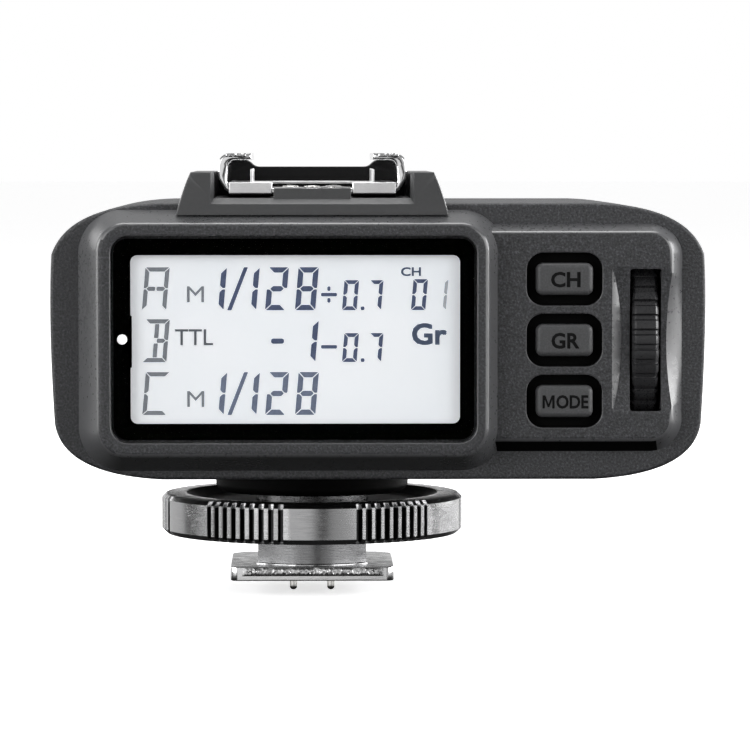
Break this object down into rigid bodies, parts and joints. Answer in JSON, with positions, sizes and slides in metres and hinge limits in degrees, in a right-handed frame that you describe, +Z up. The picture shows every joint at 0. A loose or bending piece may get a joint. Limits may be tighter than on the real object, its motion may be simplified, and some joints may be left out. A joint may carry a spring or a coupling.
{
  "type": "wireless flash trigger",
  "caption": "Radio transmitter for camera flashes, with a lit rear display, side keys and dial, a locking shoe foot below and a flash shoe on top.",
  "frame": {"origin": "centre of the foot plate's underside, on the lock ring's axis", "axes": "+Z up towards the flash shoe, -Y towards the viewer (the display side), +X to the viewer's right"},
  "size_m": [0.0733, 0.073, 0.0502],
  "materials": {
    "shell": "fine-textured dark grey moulded plastic",
    "smooth_black": "smooth satin black plastic",
    "black_plastic": "plain black plastic",
    "rubber": "matt black rubber",
    "keys": "grey-black satin keys",
    "window": "clear window with a black printed border",
    "screen": "pale lit liquid crystal panel",
    "white_plastic": "white diffuser plastic",
    "bright_steel": "bright plated steel",
    "plain_steel": "plain machined steel",
    "ring_metal": "dark satin coated aluminium",
    "contact_gold": "gold-plated contact metal",
    "circuit_board": "green solder mask",
    "red_lens": "dark red translucent window"
  },
  "bodies": {
    "housing": {"rear_cover": "shell", "front_housing": "shell", "shoe_bracket": "smooth_black", "foot_pedestal": "black_plastic", "contact_block": "black_plastic", "foot_insert": "black_plastic", "battery_tray": "black_plastic", "dial_encoder": "black_plastic", "sync_socket": "black_plastic", "key_sheet": "rubber", "display_window": "window", "lcd_panel": "screen", "lcd_backlight": "white_plastic", "lcd_tray": "white_plastic", "status_lamp": "white_plastic", "foot_plate": "bright_steel", "receiver_rails": "bright_steel", "receiver_spring": "bright_steel", "foot_neck": "plain_steel", "dial_axle": "plain_steel", "door_pin": "plain_steel", "battery_contact": "plain_steel", "usb_socket": "plain_steel", "channel_key_switch": "plain_steel", "group_key_switch": "plain_steel", "mode_key_switch": "plain_steel", "foot_screw_1": "plain_steel", "foot_screw_2": "plain_steel", "foot_screw_3": "plain_steel", "foot_screw_4": "plain_steel", "case_screw_1": "plain_steel", "case_screw_2": "plain_steel", "case_screw_3": "plain_steel", "case_screw_4": "plain_steel", "receiver_contact_1": "contact_gold", "receiver_contact_2": "contact_gold", "receiver_contact_3": "contact_gold", "receiver_contact_4": "contact_gold", "receiver_contact_5": "contact_gold", "main_board": "circuit_board", "antenna_board": "circuit_board", "assist_lens": "red_lens"},
    "clamp": {"clamp_disc": "black_plastic"},
    "lock_ring": {"lock_ring": "ring_metal"},
    "lock_pin": {"lock_pin": "plain_steel"},
    "select_dial": {"select_dial": "smooth_black"},
    "channel_key": {"channel_key": "keys"},
    "group_key": {"group_key": "keys"},
    "mode_key": {"mode_key": "keys"},
    "test_button": {"test_button": "keys"},
    "power_switch": {"power_switch": "smooth_black"},
    "assist_switch": {"assist_switch": "smooth_black"},
    "battery_door": {"battery_door": "shell"},
    "port_cover": {"port_cover": "rubber"},
    "sync_pin": {"sync_pin": "contact_gold"},
    "data_pin_1": {"data_pin_1": "contact_gold"},
    "data_pin_2": {"data_pin_2": "contact_gold"},
    "data_pin_3": {"data_pin_3": "contact_gold"},
    "data_pin_4": {"data_pin_4": "contact_gold"}
  },
  "joints": [
    {"name": "clamp_slide", "type": "slide", "parent": "housing", "child": "clamp", "axis": [0, 0, -1], "range_m": [0, 0.0008]},
    {"name": "lock_ring_turn", "type": "hinge", "parent": "clamp", "child": "lock_ring", "pos_m": [0, 0, 0.00715], "axis": [0, 0, -1], "range_deg": [0, 240]},
    {"name": "lock_pin_slide", "type": "slide", "parent": "housing", "child": "lock_pin", "axis": [0, 0, -1], "range_m": [0, 0.0012]},
    {"name": "select_dial_turn", "type": "hinge", "parent": "housing", "child": "select_dial", "pos_m": [0.03625, -0.0178, 0.0283], "axis": [1, 0, 0], "continuous": true},
    {"name": "channel_key_press", "type": "slide", "parent": "housing", "child": "channel_key", "axis": [0, 1, 0], "range_m": [0, 0.0005], "stiffness_N_per_m": 100},
    {"name": "group_key_press", "type": "slide", "parent": "housing", "child": "group_key", "axis": [0, 1, 0], "range_m": [0, 0.0005], "stiffness_N_per_m": 100},
    {"name": "mode_key_press", "type": "slide", "parent": "housing", "child": "mode_key", "axis": [0, 1, 0], "range_m": [0, 0.0005], "stiffness_N_per_m": 100},
    {"name": "test_button_press", "type": "slide", "parent": "housing", "child": "test_button", "axis": [0, 0, -1], "range_m": [0, 0.0006], "stiffness_N_per_m": 150},
    {"name": "power_switch_slide", "type": "slide", "parent": "housing", "child": "power_switch", "axis": [0, 1, 0], "range_m": [0, 0.0025]},
    {"name": "assist_switch_slide", "type": "slide", "parent": "housing", "child": "assist_switch", "axis": [0, 1, 0], "range_m": [0, 0.0025]},
    {"name": "battery_door_swing", "type": "hinge", "parent": "housing", "child": "battery_door", "pos_m": [-0.028, 0.0376, 0.0282], "axis": [0, 0, -1], "range_deg": [0, 100]},
    {"name": "port_cover_swing", "type": "hinge", "parent": "housing", "child": "port_cover", "pos_m": [0.043, 0.024, 0.0199], "axis": [0, 1, 0], "range_deg": [0, 100]},
    {"name": "sync_pin_press", "type": "slide", "parent": "housing", "child": "sync_pin", "axis": [0, 0, 1], "range_m": [0, 0.0004], "stiffness_N_per_m": 80},
    {"name": "data_pin_1_press", "type": "slide", "parent": "housing", "child": "data_pin_1", "axis": [0, 0, 1], "range_m": [0, 0.001], "stiffness_N_per_m": 80},
    {"name": "data_pin_2_press", "type": "slide", "parent": "housing", "child": "data_pin_2", "axis": [0, 0, 1], "range_m": [0, 0.001], "stiffness_N_per_m": 80},
    {"name": "data_pin_3_press", "type": "slide", "parent": "housing", "child": "data_pin_3", "axis": [0, 0, 1], "range_m": [0, 0.001], "stiffness_N_per_m": 80},
    {"name": "data_pin_4_press", "type": "slide", "parent": "housing", "child": "data_pin_4", "axis": [0, 0, 1], "range_m": [0, 0.001], "stiffness_N_per_m": 80}
  ],
  "couplings": [
    {"joint": "clamp_slide", "follows": "lock_ring_turn", "m_per_rad": 0.00019},
    {"joint": "lock_pin_slide", "follows": "lock_ring_turn", "m_per_rad": 0.000286}
  ]
}
